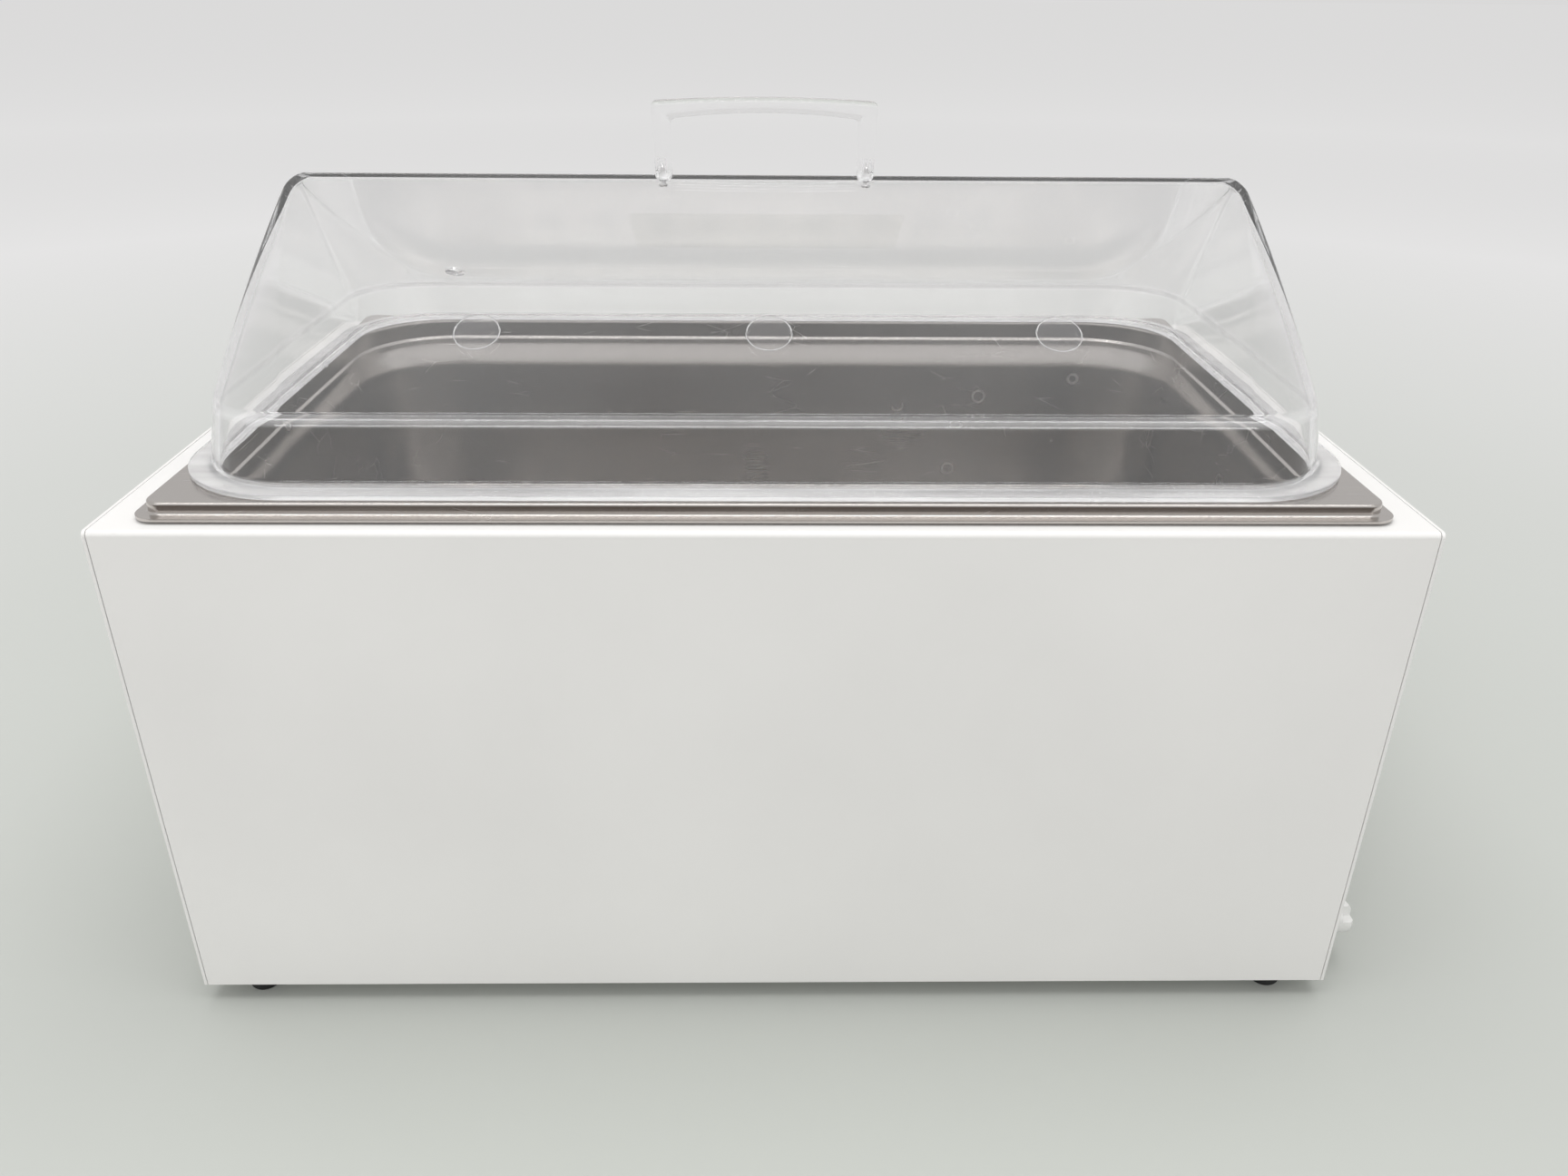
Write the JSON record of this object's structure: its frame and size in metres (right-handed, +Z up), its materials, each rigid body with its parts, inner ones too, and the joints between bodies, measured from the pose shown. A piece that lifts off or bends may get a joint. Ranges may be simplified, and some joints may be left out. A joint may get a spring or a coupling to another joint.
{
  "type": "laboratory water bath",
  "caption": "Bench water bath: white sheet-metal case, pressed steel tank, clear gabled lift-off lid with handle, end control panel and drain tap.",
  "frame": {"origin": "on the bench, under the centre of the whole bath's bounding box", "axes": "+Z up, +X along the case towards the control panel and drain tap, +Y towards the lid's label side"},
  "size_m": [0.5868, 0.339, 0.4101],
  "materials": {
    "powder_coat": "fine satin powder coat, off-white",
    "stainless": "fine brushed, with scratches and dried water spots",
    "zinc_steel": "zinc plated",
    "clear_lid": "clear polycarbonate",
    "label_film": "clear self-adhesive film, blank",
    "foot_rubber": "matt",
    "silicone": "translucent silicone",
    "white_plastic": "moulded satin",
    "panel_plastic": "fine moulded texture",
    "black_plastic": "moulded satin",
    "display_window": "smoked and polished",
    "button_plastic": "moulded, slightly glossy",
    "circuit_board": "solder resist",
    "aluminium": "mill finish",
    "brass": "turned",
    "foam": "fibrous insulation",
    "heater_mat": "woven-faced silicone"
  },
  "bodies": {
    "case": {"case_wrap": "powder_coat", "end_panel_right": "powder_coat", "end_panel_left": "powder_coat", "base_plate": "zinc_steel", "foot_front_left": "foot_rubber", "foot_front_right": "foot_rubber", "foot_back_left": "foot_rubber", "foot_back_right": "foot_rubber", "foot_screw_front_left": "zinc_steel", "foot_screw_front_right": "zinc_steel", "foot_screw_back_left": "zinc_steel", "foot_screw_back_right": "zinc_steel", "tank": "stainless", "tank_gasket": "silicone", "tank_insulation": "foam", "heater_mat": "heater_mat", "heater_clamp_plate": "aluminium", "temperature_probe": "stainless", "probe_clip": "stainless", "thermal_cutout": "black_plastic", "heater_lead": "heater_mat", "mains_transformer": "black_plastic", "triac_heatsink": "aluminium", "control_fascia": "panel_plastic", "display_window": "display_window", "display_module": "black_plastic", "control_board": "circuit_board", "button_switch_set": "black_plastic", "button_switch_down": "black_plastic", "button_switch_up": "black_plastic", "power_switch_housing": "black_plastic", "thermostat_body": "zinc_steel", "drain_fitting": "brass", "drain_fitting_seal": "silicone", "drain_fitting_nut": "brass", "drain_hose": "silicone", "drain_tap_body": "white_plastic", "drain_tap_nut": "white_plastic", "mains_inlet": "black_plastic", "inlet_pin_line": "brass", "inlet_pin_neutral": "brass", "inlet_pin_earth": "brass", "rating_plate": "aluminium"},
    "lid": {"lid_shell": "clear_lid", "lid_disc_left": "clear_lid", "lid_disc_centre": "clear_lid", "lid_disc_right": "clear_lid", "lid_label": "label_film", "lid_handle": "clear_lid", "lid_handle_screw_left": "stainless", "lid_handle_screw_right": "stainless"},
    "tray": {"base_tray": "stainless"},
    "set_button": {"button_set": "button_plastic"},
    "down_button": {"button_down": "button_plastic"},
    "up_button": {"button_up": "button_plastic"},
    "rocker": {"power_rocker": "black_plastic"},
    "dial": {"thermostat_dial": "black_plastic"},
    "tap_knob": {"drain_tap_knob": "white_plastic"},
    "drawer": {"fuse_drawer": "black_plastic", "fuse": "brass"}
  },
  "joints": [
    {"name": "lid_lift", "type": "slide", "parent": "case", "child": "lid", "axis": [0, 0, 1], "range_m": [0, 0.2]},
    {"name": "tray_lift", "type": "slide", "parent": "case", "child": "tray", "axis": [0, 0, 1], "range_m": [0, 0.12]},
    {"name": "set_press", "type": "slide", "parent": "case", "child": "set_button", "axis": [-1, 0, 0], "range_m": [0, 0.001], "stiffness_N_per_m": 1000, "springref_m": -0.001},
    {"name": "down_press", "type": "slide", "parent": "case", "child": "down_button", "axis": [-1, 0, 0], "range_m": [0, 0.001], "stiffness_N_per_m": 1000, "springref_m": -0.001},
    {"name": "up_press", "type": "slide", "parent": "case", "child": "up_button", "axis": [-1, 0, 0], "range_m": [0, 0.001], "stiffness_N_per_m": 1000, "springref_m": -0.001},
    {"name": "power_tilt", "type": "hinge", "parent": "case", "child": "rocker", "pos_m": [0.27335, -0.074, 0.064], "axis": [0, -1, 0], "range_deg": [0, 20]},
    {"name": "thermostat_turn", "type": "hinge", "parent": "case", "child": "dial", "pos_m": [0.28, -0.038, 0.064], "axis": [1, 0, 0], "range_deg": [-135, 135]},
    {"name": "tap_turn", "type": "hinge", "parent": "case", "child": "tap_knob", "pos_m": [0.28, -0.1395, 0.0256], "axis": [1, 0, 0], "range_deg": [0, 90]},
    {"name": "fuse_drawer_slide", "type": "slide", "parent": "case", "child": "drawer", "axis": [-1, 0, 0], "range_m": [0, 0.015]}
  ]
}
